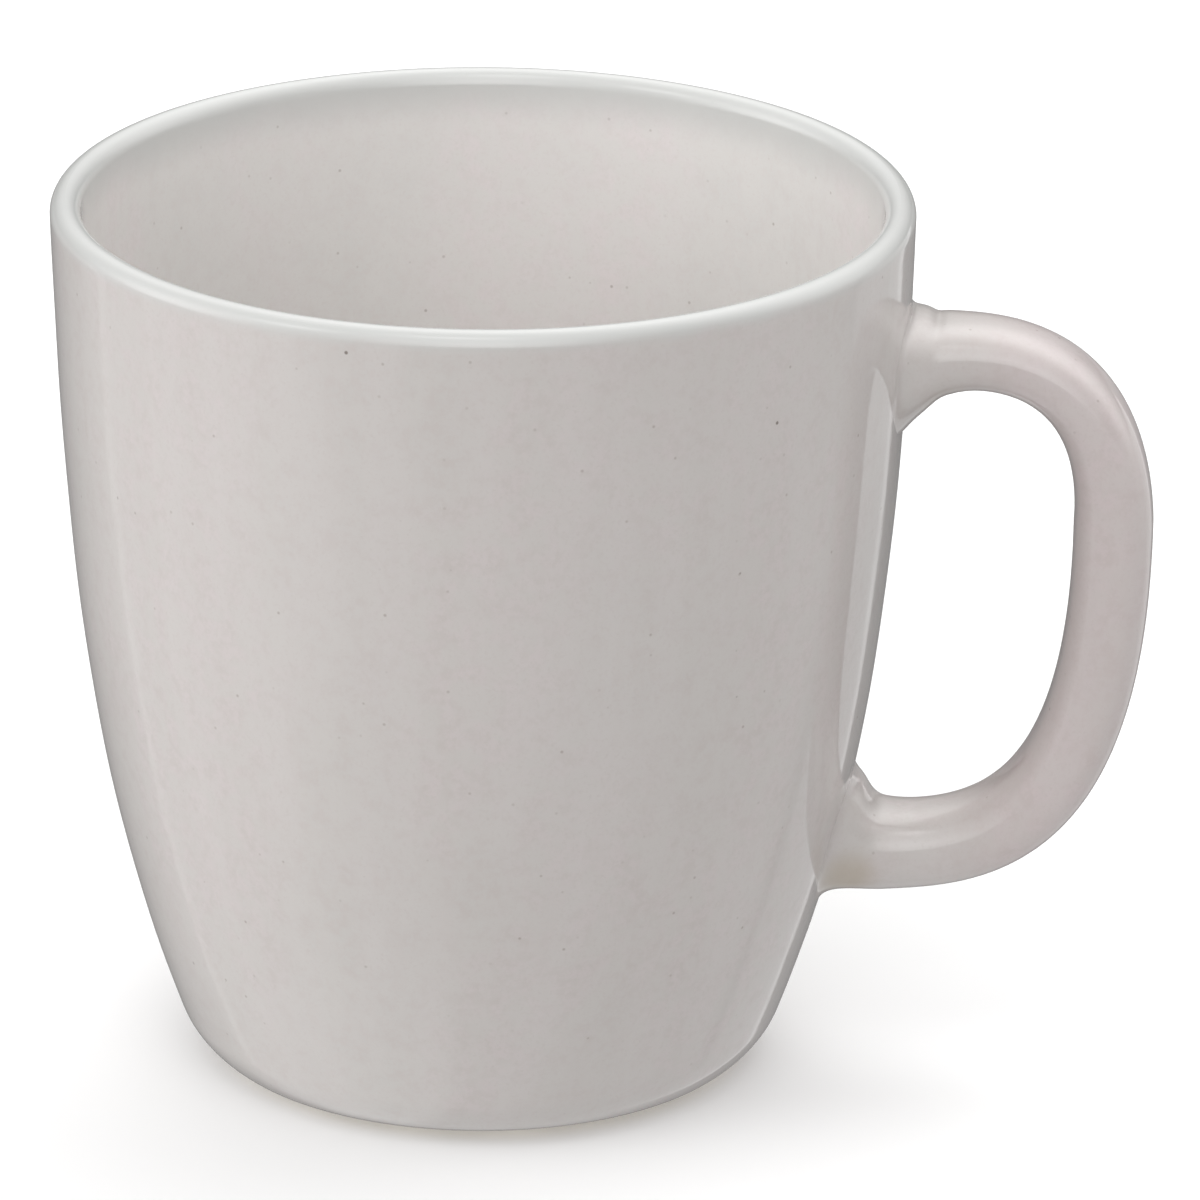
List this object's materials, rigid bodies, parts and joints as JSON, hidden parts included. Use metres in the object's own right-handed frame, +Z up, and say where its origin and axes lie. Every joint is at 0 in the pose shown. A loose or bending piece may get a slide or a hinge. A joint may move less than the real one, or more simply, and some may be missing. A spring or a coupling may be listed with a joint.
{
  "type": "ceramic mug",
  "caption": "Glazed stoneware mug with a tapering rounded body, a thin lip and a looped side handle, for hot drinks.",
  "frame": {"origin": "middle of the foot ring, in the plane of the table it stands on", "axes": "+Z up along the cup's axis, +X out through the handle, +Y to the side"},
  "size_m": [0.1077, 0.084, 0.0885],
  "materials": {
    "clay": "matt fired stoneware, bare at the foot ring",
    "handle_clay": "matt fired stoneware, under the glaze",
    "slip": "matt fired slip, under the glaze",
    "outer_glaze": "glossy warm light grey glaze with faint mottling and fine dark specks",
    "liner_glaze": "glossy warm light grey glaze, paler over the lip",
    "handle_glaze": "glossy warm light grey glaze",
    "base_glaze": "glossy warm light grey glaze"
  },
  "bodies": {
    "root": {"cup_body": "clay", "handle": "handle_clay", "upper_luting": "slip", "lower_luting": "slip", "outer_glaze": "outer_glaze", "liner_glaze": "liner_glaze", "handle_glaze": "handle_glaze", "base_glaze": "base_glaze"}
  },
  "joints": []
}
